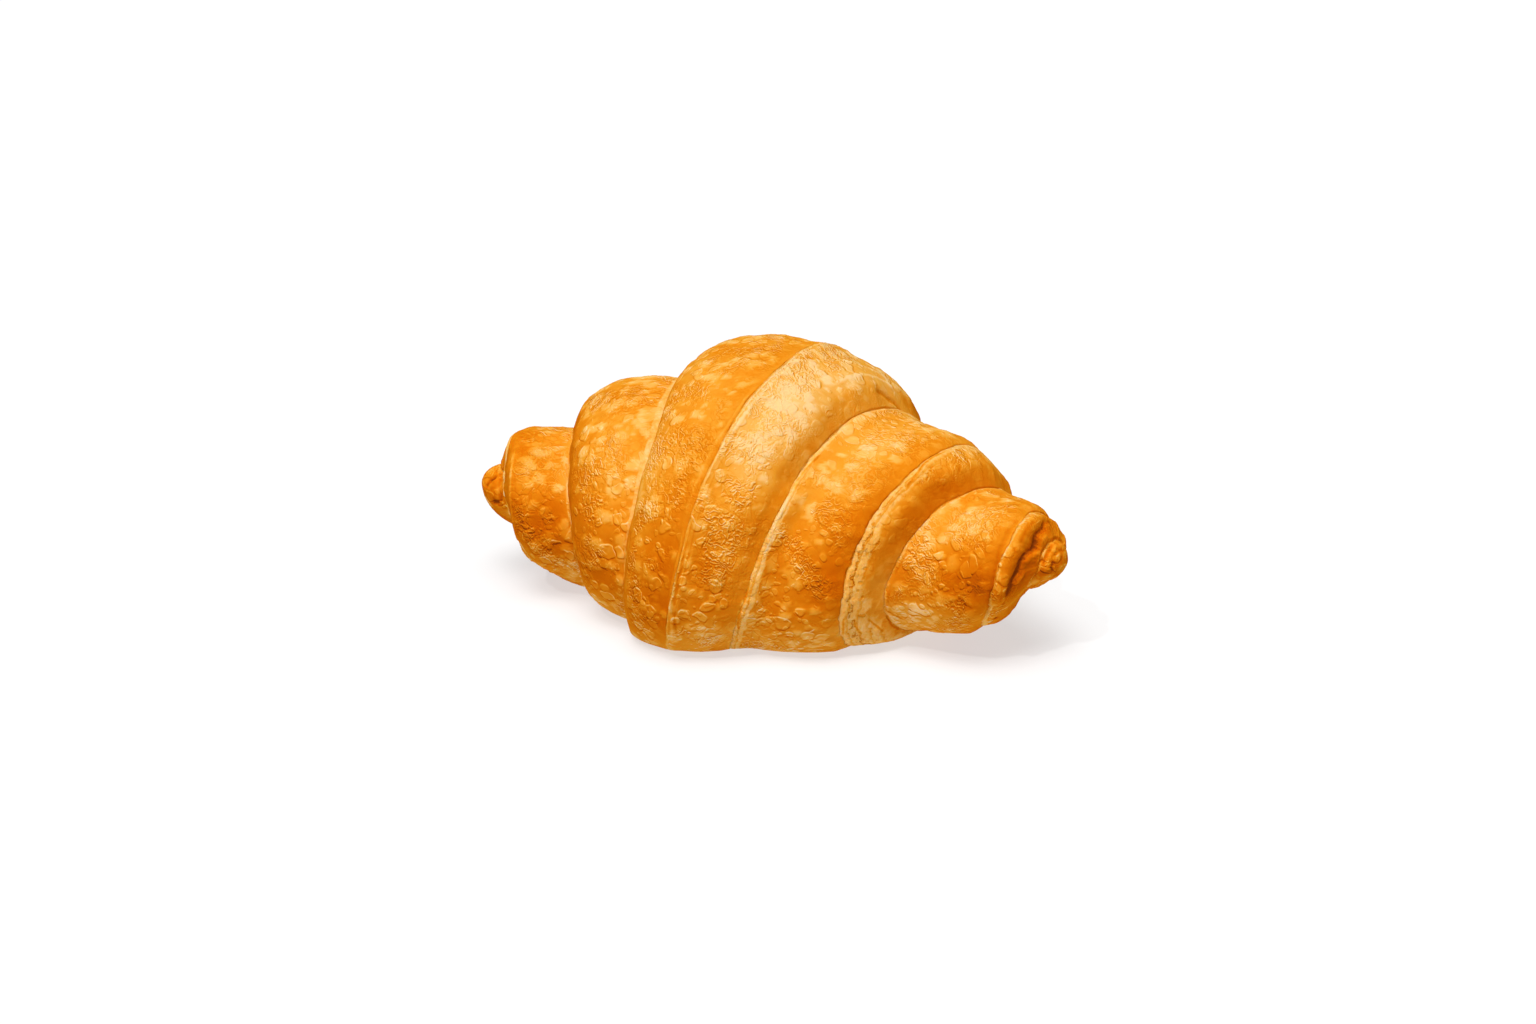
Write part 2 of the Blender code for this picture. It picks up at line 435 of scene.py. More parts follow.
FOLDS = (
    Fold(((55.0, 12), (54.6, 40), (54.5, 80), (53.7, 101), (51.6, 128)), 0.5, -0.35, 0.14),
    Fold(((57.0, -4), (56.7, 29), (56.5, 58), (55.9, 90), (54.4, 115)), 1.6, 1.0, -0.14),
    Fold(((58.1, -20), (58.5, 22), (58.6, 50), (57.9, 80), (56.3, 108)), 0.6, -0.6, 0.32),
    Fold(((56.3, 18), (56.0, 45), (55.5, 72), (54.9, 92)), 0.25, 0.15, -0.2),
    Fold(((57.4, 10), (57.3, 40), (56.8, 68), (56.0, 92)), 0.25, -0.15, 0.16),
    Fold(((59.0, 5), (59.2, 33), (59.2, 56), (58.5, 74)), 0.6, 0.3, -0.12),
    Fold(((59.4, 5), (59.9, 32), (60.0, 53), (59.6, 74)), 0.3, 0.35, -0.3),
    Fold(((60.1, 8), (60.5, 36), (60.5, 58), (60.0, 74)), 0.45, -0.5, 0.35),
    Fold(((61.2, 110), (61.0, 60), (61.1, 10), (61.3, -45)), 0.45, 0.3, -0.15),
    Fold(((61.9, 130), (61.75, 60), (61.75, 10), (61.9, -45)), 0.3, -0.5, 0.3),
    Fold(((57.8, 84), (56.7, 94), (55.5, 106), (53.8, 122)), 0.35, 0.3, -0.2),
    Fold(((58.7, 82), (57.7, 97), (56.5, 110)), 0.35, 0.3, -0.2),
    Fold(((58.4, 76), (57.2, 92), (56.0, 107), (54.8, 120)), 0.4, -0.3, 0.2),
    Fold(((-56.4, 10), (-56.2, 75), (-56.0, 107), (-55.6, 137)), 0.4, 0.35, -0.3),
    Fold(((-54.2, 30), (-53.8, 70), (-53.2, 95), (-51.8, 131)), 0.4, 0.3, -0.25),
    Fold(((-58.0, 20), (-57.9, 70), (-57.7, 110)), 0.5, -0.5, 0.3),
    Fold(((-61.2, 85), (-60.4, 60), (-58.8, 38)), 0.4, -0.6, 0.45),
    Fold(((-59.9, 118), (-58.9, 112), (-58.0, 104)), 0.6, -0.5, 0.5),
    Fold(((-42.0, 49), (-40.8, 74), (-38.5, 92), (-35.7, 115)), 0.28, 0.1, -0.25),
    Fold(((0.4, 22), (-1.4, 36), (-3.6, 45), (-5.4, 55), (-6.9, 66)), 0.4, 0.25, -0.1),
    Fold(((3.4, 6), (1.2, 22), (-0.6, 35), (-3.0, 48), (-5.6, 62)), 0.35, -0.1, 0.04),
    Fold(((2.6, 24), (0.6, 36), (-1.9, 48), (-4.1, 58)), 0.35, 0.25, -0.15),
    Fold(((-6.6, 68), (-7.2, 76), (-8.4, 86), (-8.9, 96), (-9.2, 112)), 0.4, 0.35, -0.15),
    Fold(((-5.4, 70), (-6.3, 80), (-7.7, 90), (-8.2, 100), (-8.4, 112)), 0.3, -0.25, 0.18),
    Fold(((-3.8, 70), (-4.8, 80), (-6.8, 88), (-7.4, 96), (-7.6, 110)), 0.4, 0.25, -0.12),
    Fold(((15.0, 42), (12.0, 56), (10.0, 68), (8.4, 80), (6.8, 94), (5.0, 110)), 2.4, 1.1, -0.04),
    Fold(((12.4, 48), (11.0, 56), (9.9, 63), (8.7, 71), (7.6, 80)), 0.4, -0.4, 0.34),
    Fold(((12.9, 50), (11.6, 58), (10.6, 65), (9.4, 74)), 0.3, 0.25, -0.25),
    Fold(((11.6, 66), (10.4, 70), (9.0, 78), (8.2, 86)), 0.25, 0.2, -0.2),
    Fold(((15.4, 31), (14.0, 38), (12.8, 46)), 0.25, -0.2, 0.25),
    Fold(((7.3, 82), (6.6, 88), (5.6, 94), (4.4, 104), (4.2, 111)), 0.25, -0.3, 0.45),
    Fold(((3.8, 12), (6.7, 2), (9.3, -6), (12.9, -16), (16.7, -28)), 0.45, 0.25, -0.12),
    Fold(((12.5, 7), (14.4, -8), (16.2, -20), (18.2, -27)), 0.4, 0.3, -0.22),
    Fold(((17.0, -12), (18.4, -22), (19.8, -30)), 0.5, -0.4, 0.25),
    Fold(((5.2, 5), (7.9, -2), (10.0, -9)), 0.35, -0.25, 0.3),
    Fold(((36.5, 2), (34.9, 14), (34.4, 26), (33.8, 35)), 0.3, -0.3, 0.3),
    Fold(((31.1, 120), (31.2, 132), (31.6, 146)), 0.3, -0.35, 0.4),
    Fold(((29.2, 114), (29.6, 124), (30.2, 134)), 0.25, -0.3, 0.35),
    Fold(((31.3, 112), (32.6, 119), (34.2, 125)), 0.3, -0.35, 0.35),
    Fold(((25.6, 106), (25.0, 114), (24.2, 122)), 0.25, -0.3, 0.35),
    Fold(((27.4, 108), (27.0, 116), (27.4, 126)), 0.25, -0.3, 0.3),
    Fold(((35.3, 62), (34.6, 73), (33.6, 83)), 0.35, -0.2, 0.12),
    Fold(((33.0, 92), (32.4, 99), (32.2, 106)), 0.3, -0.25, 0.2),
    Fold(((52.3, 138), (52.1, 143)), 0.5, -0.2, 0.7),
)
FOLD_SETS = 3
FOLD_STEPS = 10
FOLD_REACH = 3.5
THINNEST_MODELLED = 0.33
BROAD_FOLD = 1.2
BROAD_SHARPNESS = 0.25


def noise_at(places, size, seed):
    """Smooth noise from about -1 to 1 with features of this size."""
    shift = Vector((seed * 7.3, seed * 3.1, seed * 5.7))
    return np.array([noise.noise(Vector(place) / size + shift) for place in places])


def blisters(places, size, seed, chance):
    """Bubbles under the egg wash: rounds of many sizes with flat tops, some places without."""
    warp = np.stack([noise_at(places, size * 1.1, seed + shift) for shift in (1, 2, 3)], axis=-1)
    bent = places / size + 0.4 * warp
    height = np.zeros(len(places))
    for index, place in enumerate(bent):
        distances, centres = noise.voronoi(Vector(place))
        luck = 0.5 + 0.5 * noise.cell(centres[0] * 9.1 + Vector((seed, 0.5, 0.5)))
        if luck < chance[index]:
            reach = 0.38 + 0.3 * luck / max(chance[index], 0.05)
            height[index] = min(max((reach - distances[0]) / 0.13, 0.0), 1.0)
    return height * height * (3 - 2 * height)


# What lies round each vertex: how far the nearest edges are, and the torn dough beside them.
around_right = RIGHT.surroundings(along, angle)
around_left = LEFT.surroundings(along, angle)
on_right = around_right[0] < around_left[0]
beyond, _, pale, sheets, fray, leaf, rise = (
    np.where(on_right, right, left) for right, left in zip(around_right, around_left)
)
under = np.minimum(around_right[1], around_left[1])
jagged = fray * JAG_REACH * noise_at(points, JAG_SIZE, 5)
stretched = 1 - eased(0.8, 1.1, (beyond + jagged) / np.maximum(pale, 0.05 * MM))
layered = 1 - eased(0.85, 1.1, (beyond + jagged) / np.maximum(sheets, 0.05 * MM))

# The blisters, pimples and puckers of the egg wash, which thin out beside the lips.
clustered = eased(-0.3, 0.35, noise_at(points, 9 * MM, 4))
covered = (1 - 0.85 * stretched) * (0.2 + 0.8 * eased(*CLEAR_OF_LIP, under / MM))
blister = blisters(points, BLISTER_SIZE, 3, 0.25 + 0.4 * clustered) * covered
dotted = 0.7 * eased(-0.2, 0.3, noise_at(points, 6 * MM, 14))
pimple = blisters(points, PIMPLE_SIZE, 13, dotted) * covered
puckered = eased(0.0, 0.35, noise_at(points, 7 * MM, 6)) * covered
contour = noise_at(points, PUCKER_SIZE, 7) + 0.25 * noise_at(points, PIMPLE_SIZE, 17)
pucker = puckered * (0.5 + 0.5 * np.sin(contour * 17.0))


def on_skin(at, turned):
    """The places on the plain skin at these millimetres and degrees."""
    at, turned = np.atleast_1d(at) * MM, np.radians(np.atleast_1d(turned))
    return skin_point(at, turned, skin_radius(at, turned)) + shift


bubble = np.zeros(len(points))
for mark in BUBBLES:
    middle, ahead = on_skin([mark.along, mark.along + 2.0], [mark.angle, mark.angle])
    forward = (ahead - middle) / np.linalg.norm(ahead - middle)
    offset = points - middle
    lengthwise = offset @ forward
    crosswise = np.sqrt(np.maximum((offset**2).sum(axis=1) - lengthwise**2, 0.0))
    reach = np.hypot(lengthwise / (mark.length * MM), crosswise / (mark.width * MM))
    bubble = np.maximum(bubble, 1 - eased(0.75, 1.1, reach))


def drawn(fold):
    """How many widths each vertex lies to the side of a fold, and how strong the fold is there."""
    knots = np.arange(len(fold.places))
    fine = np.linspace(0, len(knots) - 1, FOLD_STEPS * (len(knots) - 1) + 1)
    at, turned = (smooth_line(fine, knots, np.array(line, float)) for line in zip(*fold.places))
    path = on_skin(at, turned)
    reach = FOLD_REACH * fold.width * MM + 1 * MM
    near = np.all((points > path.min(axis=0) - reach) & (points < path.max(axis=0) + reach), axis=1)
    nearby, facing = points[near], normals[near]
    nearest = np.full(len(nearby), np.inf)
    side = np.zeros(len(nearby))
    ends = np.zeros(len(nearby))
    for index, (start, end) in enumerate(zip(path[:-1], path[1:])):
        run = end - start
        share = np.clip((nearby - start) @ run / (run @ run), 0.0, 1.0)
        offset = nearby - start - share[:, None] * run
        apart = np.linalg.norm(offset, axis=1)
        closer = apart < nearest
        turn = np.sign((np.cross(run, offset) * facing).sum(axis=1))
        nearest = np.where(closer, apart, nearest)
        side = np.where(closer, turn, side)
        ends = np.where(closer, (index + share) / (len(path) - 1), ends)
    widths = np.full(len(points), FOLD_REACH * 2)
    widths[near] = nearest / (fold.width * MM) * np.where(side < 0, -1.0, 1.0)
    strong = np.zeros(len(points))
    strong[near] = eased(-0.02, 0.15, ends) * (1 - eased(0.85, 1.02, ends))
    return widths, strong * (1 - eased(FOLD_REACH * 0.7, FOLD_REACH, np.abs(widths)))


fold_sets = np.zeros((FOLD_SETS, len(points), 3))
fold_sets[:, :, 0] = FOLD_REACH * 2
folded = np.zeros(len(points))
for index, fold in enumerate(FOLDS):
    widths, strong = drawn(fold)
    chosen = fold_sets[index % FOLD_SETS]
    nearer = np.abs(widths) < np.abs(chosen[:, 0])
    sharpness = 1.0 if fold.width < BROAD_FOLD else BROAD_SHARPNESS
    line = np.stack([widths, strong * fold.tone, strong * fold.height * sharpness], axis=-1)
    chosen[nearer] = line[nearer]
    if fold.width > THINNEST_MODELLED:
        folded += fold.height * MM * strong * bell(widths, 1.0)

# Everything that lifts or sinks the plain skin, calmer at the tips and none on the underside.
lumps = noise_at(points, LUMP_SIZE, 1) + 0.3 * noise_at(points, LUMP_SIZE / 2, 2)
dimples = noise_at(points, DIMPLE_SIZE, 12)
saw = np.mod((beyond + 1.6 * jagged) / np.maximum(leaf, 0.3 * MM), 1.0)
blister = np.maximum(blister * (1 - bubble), BUBBLE_BOLDNESS * bubble)
leaves = layered * rise * saw * (1 - eased(0.7, 1.0, saw))
lifted = LUMP_HEIGHT * lumps + DIMPLE_HEIGHT * dimples * (0.4 + 0.6 * covered)
lifted += PIMPLE_HEIGHT * pimple + PUCKER_HEIGHT * pucker + BLISTER_HEIGHT * blister
lifted *= 1 - 0.65 * eased(*CALM_TIPS, np.abs(along))
torn_edge = np.abs((beyond + jagged) / np.maximum(pale, 0.1 * MM) - CRACK_SHARE) * pale
lifted -= CRACK_DEPTH * bell(torn_edge, CRACK_WIDTH) * eased(0.7, 0.95, fray)
lifted += leaves + folded
grounded = eased(*GROUNDED, points[:, 2])
points = points + normals * (lifted * grounded)[:, None]
points[:, 2] = np.maximum(points[:, 2], 0.0)
for vertex, point in zip(crust_mesh.verts, points):
    vertex.co = point


class Patch(NamedTuple):
    """A place on one turn that differs: millimetres, degrees, its reach, browner and puckered.

    One paler patch is painted light that lifts a shade.
    """

    along: float
    angle: float
    reach_along: float
    reach_angle: float
    browning_and_light: float
    puckered: float


PATCHES = (
    Patch(8, 28, 8, 34, -0.40, 0.6),
    Patch(24, 4, 6, 14, -0.05, 0.4),
    Patch(25, 108, 5, 12, -0.16, 0.0),
    Patch(61, 60, 1.6, 120, 0.2, 0.0),
    Patch(58, 70, 2.5, 60, 0.16, 0.0),
    Patch(-60.5, 70, 2.5, 120, 0.18, 0.0),
    Patch(5, 2, 6, 14, 0.14, 0.2),
    Patch(-30, 10, 8, 10, 0.12, 0.0),
    Patch(-50, 10, 3, 14, 0.14, 0.0),
    Patch(43, 21, 3, 14, 0.08, 0.0),
    Patch(48, 66, 5, 16, 0.1, 0.0),
    Patch(0, 80, 4, 12, 0.08, 0.0),
    Patch(-34, 118, 6, 10, -0.1, 0.0),
    Patch(-2, 98, 5, 8, -0.1, 0.0),
    Patch(14, -4, 5, 14, -0.14, 0.2),
    Patch(18, -25, 4, 12, -0.22, 0.2),
    Patch(31, 38, 4, 16, 0.16, 0.0),
    Patch(28.5, 56, 4, 14, 0.14, 0.0),
    Patch(42.4, 16, 4, 12, 0.12, 0.0),
    Patch(20, 98, 6, 10, -0.1, 0.0),
    Patch(5.5, 79, 3, 10, -0.1, 0.0),
    Patch(-55, 14, 3, 20, 0.1, 0.0),
    Patch(6, 100, 7, 14, -0.15, 0.0),
    Patch(0, 112, 9, 12, -0.15, 0.0),
    # Paler here: painted light that lifts the shade of the step beside it.
    Patch(31.5, 74, 4, 24, -0.28, 0.0),
    Patch(31.5, 95, 5, 14, -0.18, 0.0),
    Patch(4, 92, 5, 16, -0.12, 0.0),
    Patch(24, 112, 10, 12, -0.12, 0.0),
    Patch(25, 30, 6, 20, -0.14, 0.8),
    Patch(34, 8, 5, 20, 0.10, 0.2),
    Patch(24, 84, 6, 20, 0.16, 0.0),
    Patch(30, 69, 4, 20, 0.10, 0.0),
    Patch(38, 48, 3, 26, -0.10, 0.2),
    Patch(47, 33, 6, 16, -0.24, 1.0),
    Patch(50, 84, 5, 20, 0.16, 0.0),
    Patch(40, 108, 7, 18, -0.25, 0.0),
    Patch(60, 40, 3, 90, 0.10, 0.0),
    Patch(-45, 92, 7, 24, 0.22, 0.0),
    Patch(-44, 40, 7, 14, -0.05, 0.8),
    Patch(-30, 55, 7, 14, -0.04, 0.9),
    Patch(-30, 95, 6, 18, 0.06, 0.0),
    Patch(-11, 92, 6, 18, 0.20, 0.0),
    Patch(-12, 55, 7, 20, 0.06, 0.6),
    Patch(-20, 52, 5, 22, -0.22, 0.6),
    Patch(-48, 28, 5, 14, 0.08, 0.0),
    Patch(-35, 105, 14, 22, 0.06, 0.0),
    Patch(48, 95, 7, 20, 0.08, 0.0),
    Patch(-5, 8, 9, 14, 0.10, 0.5),
    Patch(2, 70, 6, 20, -0.02, 0.5),
)


def same_turn(patch):
    """1 on the turn that the patch lies on, 0 elsewhere."""
    at, turned = np.array([patch.along * MM]), np.radians([patch.angle])
    same = np.ones(len(points), dtype=bool)
    for winding in (RIGHT, LEFT):
        same &= winding.covers(along, angle) == winding.covers(at, turned)
    return same


def browning():
    """How brown each place is, 0 for pale dough and 1 for brown, and how puckered it is.

    The crown is paler than the flanks and the foot paler again; the flanks' extra brown is painted
    shade, deeper the less a place faces up. The underside, the tips and a band inside each lip are
    browner, and just beyond a lip the tone is paler as painted light in the foot of the step.
    """
    degrees = np.degrees(angle)
    around = np.abs(degrees)
    # The flanks are browner as painted shade: the less a place faces up, the browner it is.
    baked = 0.34 + 0.3 * (1 - eased(-0.1, 0.85, normals[:, 2])) - 0.26 * eased(98, 124, around)
    baked += 0.25 * eased(135, 160, around)
    baked += 0.1 * eased(30 * MM, 60 * MM, np.abs(along))
    # Browner in a band inside each lip. Just beyond it, paler: painted light lifting the step's
    # shade.
    baked += 0.08 * bell(under - 3 * MM, 3 * MM) - 0.14 * bell(beyond, 1.6 * MM)
    wrinkled = np.zeros(len(points))
    for patch in PATCHES:
        reach = (along - patch.along * MM) / (patch.reach_along * MM)
        near = bell(np.hypot(reach, (degrees - patch.angle) / patch.reach_angle), 1.0)
        baked += patch.browning_and_light * near * same_turn(patch)
        wrinkled += patch.puckered * near * same_turn(patch)
    baked += 0.07 * noise_at(points, 8 * MM, 8) + 0.04 * noise_at(points, 3.5 * MM, 9)
    return np.clip(baked, 0.0, 1.0), np.clip(wrinkled, 0.0, 1.0) * covered


baked, puckered_patch = browning()
puckered = np.clip(0.6 * puckered + puckered_patch, 0.0, 1.0)

crust_data = bpy.data.meshes.new("crust")
crust_mesh.to_mesh(crust_data)
crust_mesh.free()
for polygon in crust_data.polygons:
    polygon.use_smooth = True


def store(name, values):
    """Keep a number or a vector at each vertex for the crust's material to read."""
    values = np.asarray(values, dtype=np.float32)
    kind, field = ("FLOAT", "value") if values.ndim == 1 else ("FLOAT_VECTOR", "vector")
    layer = crust_data.attributes.new(name, kind, "POINT")
    layer.data.foreach_set(field, values.ravel())


# The finest blisters are painted lit from above and in front: beside its own place, each vertex
# stores the place one short step towards that light along the skin.
LIT_FROM = np.array([0.1, -0.55, 0.83])
LIT_STEP = 0.32 * MM

store("baked", baked)
store("blister", blister)
store("pimple", pimple)
store("puckered", puckered)
store("beyond", np.minimum(beyond, 3 * NEAR_EDGE) / MM)
store("under", under / MM)
store("pale", np.maximum(pale / MM, 0.1))
store("fray", fray)
store("leaf", np.maximum(leaf / MM, 0.5))
store("layered", layered * eased(0.15 * MM, 0.3 * MM, rise))
store("lit place", points + LIT_STEP * (LIT_FROM - (normals @ LIT_FROM)[:, None] * normals))
for index, fold_set in enumerate(fold_sets):
    store(f"folds {index}", fold_set)

crust = bpy.data.objects.new("crust", crust_data)
bpy.context.scene.collection.objects.link(crust)


def feed(tree, socket, value):
    """Link a value that varies to a socket, or set one that doesn't."""
    if isinstance(value, Socket):
        tree.links.new(value.output, socket)
    else:
        socket.default_value = value


class Socket:
    """One value in a shader, so that sums on it are written as sums."""

    def __init__(self, tree, output):
        self.tree = tree
        self.output = output

    def _maths(self, operation, *values):
        node = self.tree.nodes.new("ShaderNodeMath")
        node.operation = operation
        for socket, value in zip(node.inputs, values):
            feed(self.tree, socket, value)
        return Socket(self.tree, node.outputs[0])

    def __add__(self, other):
        return self._maths("ADD", self, other)

    def __sub__(self, other):
        return self._maths("SUBTRACT", self, other)

    def __rsub__(self, other):
        return self._maths("SUBTRACT", other, self)

    def __mul__(self, other):
        return self._maths("MULTIPLY", self, other)

    def __truediv__(self, other):
        return self._maths("DIVIDE", self, other)

    def __abs__(self):
        return self._maths("ABSOLUTE", self)

    def sine(self):
        """The sine of the value, in radians."""
        return self._maths("SINE", self)

    def fraction(self):
        """What is left of the value past the whole number under it."""
        return self._maths("FRACT", self)

    __radd__ = __add__
    __rmul__ = __mul__


class Finish:
    """A material under construction: its nodes are added one by one."""

    def __init__(self, name):
        self.material = bpy.data.materials.new(name)
        self.material.use_nodes = True
        self.tree = self.material.node_tree
        self.shader = self.tree.nodes["Principled BSDF"]

    def node(self, kind, settings=None, inputs=(), output=0, **values):
        """Add a node: its settings first, then its sockets in their order or by their names."""
        node = self.tree.nodes.new("ShaderNode" + kind)
        for key, value in (settings or {}).items():
            if key == "stops":
                self.set_stops(node.color_ramp, value)
            else:
                setattr(node, key, value)
        for socket, value in zip(node.inputs, inputs):
            feed(self.tree, socket, value)
        for key, value in values.items():
            feed(self.tree, node.inputs[key.replace("_", " ")], value)
        return Socket(self.tree, node.outputs[output])

    def wear(self, **values):
        """Set or link the shader's own sockets."""
        for key, value in values.items():
            feed(self.tree, self.shader.inputs[key.replace("_", " ")], value)

    def set_stops(self, ramp, stops):
        """Give a ramp these places and colours."""
        while len(ramp.elements) < len(stops):
            ramp.elements.new(0.5)
        for element, (place, colour) in zip(ramp.elements, stops):
            element.position = place
            element.color = (*colour, 1.0)

    def step(self, value, low, high):
        """0 at low, 1 at high, smooth between."""
        settings = {"interpolation_type": "SMOOTHSTEP"}
        return self.node("MapRange", settings, Value=value, From_Min=low, From_Max=high)

    def speckle(self, place, scale, detail, roughness=0.5):
        """Noise about zero with this many features to a metre."""
        values = {"Vector": place, "Scale": scale, "Detail": detail, "Roughness": roughness}
        return self.node("TexNoise", **values) - 0.5

    def rounds(self, place, scale, least, most, softness):
        """Flat rounds of many sizes: 1 on a round, 0 between, its radius from its own cell."""
        distance = self.node("TexVoronoi", {"feature": "F1"}, Vector=place, Scale=scale)
        centre = self.node("TexVoronoi", {"feature": "F1"}, output=2, Vector=place, Scale=scale)
        reach = self.node("TexWhiteNoise", Vector=centre) * (most - least) + least
        return self.step(reach - distance, 0.0, softness)

    def read(self, name):
        """A value that the mesh stores at each vertex."""
        return self.node("Attribute", {"attribute_name": name}, output=2)

    def read_vector(self, name):
        """A vector that the mesh stores at each vertex."""
        return self.node("Attribute", {"attribute_name": name}, output=1)

    def read_folds(self, index, rough):
        """Tone and height of one set of folds, their lines roughened sideways."""
        stored = self.read_vector(f"folds {index}")
        widths, tone, height = (
            self.node("SeparateXYZ", output=part, Vector=stored) for part in range(3)
        )
        line = self.step(abs(widths + rough), 1.5, 0.1)
        return tone * line, height * line


class Speckles(NamedTuple):
    """Noise all over the crust, from coarse to fine, each about zero."""

    cloud: Socket
    mottle: Socket
    tear: Socket
    freckle: Socket
    grain: Socket


class Torn(NamedTuple):
    """Dough that stretched and tore beside a lip, with its cracks, pits and thin sheets."""

    stretched: Socket
    crack: Socket
    pits: Socket
    sheet_end: Socket
    sheet_top: Socket


def torn_dough(finish, place, speckles):
    """Where the dough stretched and tore beyond each edge."""
    beyond, pale, fray = (finish.read(name) for name in ("beyond", "pale", "fray"))
    layered = finish.read("layered")
    share = (beyond + speckles.tear * fray * 1.6) / pale
    stretched = 1.0 - finish.step(share, 0.85, 1.1)
    ragged = finish.step(fray, 0.4, 0.95)
    crack_at = abs(share - CRACK_SHARE + speckles.tear * 0.5) * pale
    # The crack is darkened in the crust's tone as painted shade in it.
    crack = (1.0 - finish.step(crack_at, 0.06, 0.26)) * ragged
    crack = crack * finish.step(speckles.mottle + speckles.freckle, -0.2, 0.05)
    pits = finish.rounds(place, 620.0, 0.0, 0.42, 0.2) * stretched * finish.step(share, 0.45, 0.6)
    sheet = ((beyond + speckles.tear * fray * 1.1) / finish.read("leaf")).fraction()
    sheet_end = finish.step(sheet, 0.62, 0.95) * layered
    sheet_top = finish.step(abs(sheet - 0.5), 0.3, 0.05) * layered
    return Torn(stretched, crack, pits * ragged, sheet_end, sheet_top)


class Blistering(NamedTuple):
    """What the egg wash has raised: ovals, small beads, tight cells and curling wrinkles."""

    oval: Socket
    bead: Socket
    cells: Socket
    curls: Socket

    def height(self):
        """How high it stands, as a share of the relief's depth."""
        return self.oval * 0.28 + self.bead * 0.14 + self.cells * 0.18 + self.curls * 0.2


BLISTER_DRIFT = 2.8 * MM


def blistering(finish, place, open_skin, where_cells, wrinkled):
    """The finest blisters and wrinkles at a place."""
    drift = finish.node("TexNoise", Vector=place, Scale=300.0, Detail=1.0, output=1)
    drift = finish.node("VectorMath", {"operation": "SUBTRACT"}, (drift, (0.5, 0.5, 0.5)))
    adding = {"operation": "MULTIPLY_ADD"}
    pushed = finish.node("VectorMath", adding, (drift, (BLISTER_DRIFT,) * 3, place))
    oval = finish.rounds(pushed, 330.0, 0.10, 0.62, 0.14) * open_skin
    bead = finish.rounds(pushed, 720.0, 0.0, 0.6, 0.16) * open_skin
    cell = finish.node("TexVoronoi", {"feature": "DISTANCE_TO_EDGE"}, Vector=pushed, Scale=520.0)
    cells = finish.step(cell, 0.02, 0.14) * where_cells * 0.6
    contour = finish.node("TexNoise", Vector=place, Scale=330.0, Detail=3.0, Roughness=0.5)
    curls = (contour * 66.0).sine() * 0.5 + 0.5
    return Blistering(oval, bead, cells, curls * curls * wrinkled)


def skin_tone(finish, speckles, raised, turned_up, wrinkled):
    """How brown the skin is: paler on what is raised, with painted light and shade on its fine
    relief.
    """
    baked, blister, pimple = (finish.read(name) for name in ("baked", "blister", "pimple"))
    # Paler along each lip: its pale cut edge, and in part a painted highlight on the lip.
    lip_edge_and_highlight = 1.0 - finish.step(finish.read("under") + speckles.freckle * 0.3, 0.15, 0.5)
    # Painted light on the fine relief: paler, with glints, facing the light; painted shade facing
    # away.
    painted_glint = finish.step(turned_up, 0.07, 0.17)
    shaded_side = finish.step(turned_up, -0.05, -0.15)
    paler = raised.oval * 0.2 + raised.bead * 0.1 + raised.cells * 0.12 + raised.curls * 0.24
    paler = paler + blister * 0.42 + pimple * 0.1 + lip_edge_and_highlight * 0.12
    skin = baked + speckles.mottle * 0.2 + speckles.cloud * 0.16 + speckles.freckle * 0.1 + 0.112
    skin = skin - turned_up * 0.95 - paler / (paler * 1.3 + 1.0)
    return skin + wrinkled * 0.04 - painted_glint * 0.12 + shaded_side * 0.09


def dough_tone(finish, speckles, sheet_end):
    """How brown the bare dough is: palest where much of it shows."""
    dough = finish.step(finish.read("pale"), 0.9, 0.3) * 0.18 + finish.read("baked") * 0.2 + 0.13
    return dough + speckles.mottle * 0.45 + speckles.freckle * 0.45 + sheet_end * 0.2


CRUST_TONES = (
    (0.0, (0.77, 0.49, 0.21)),
    (0.08, (0.755, 0.43, 0.135)),
    (0.17, (0.73, 0.365, 0.075)),
    (0.32, (0.685, 0.27, 0.02)),
    (0.46, (0.625, 0.19, 0.005)),
    (0.61, (0.56, 0.138, 0.0018)),
    (0.72, (0.515, 0.11, 0.001)),
    (0.82, (0.46, 0.088, 0.001)),
    (1.0, (0.22, 0.038, 0.0025)),
)
RELIEF_DEPTH = 0.45 * MM
LIGHT_REACH = 0.8 * MM


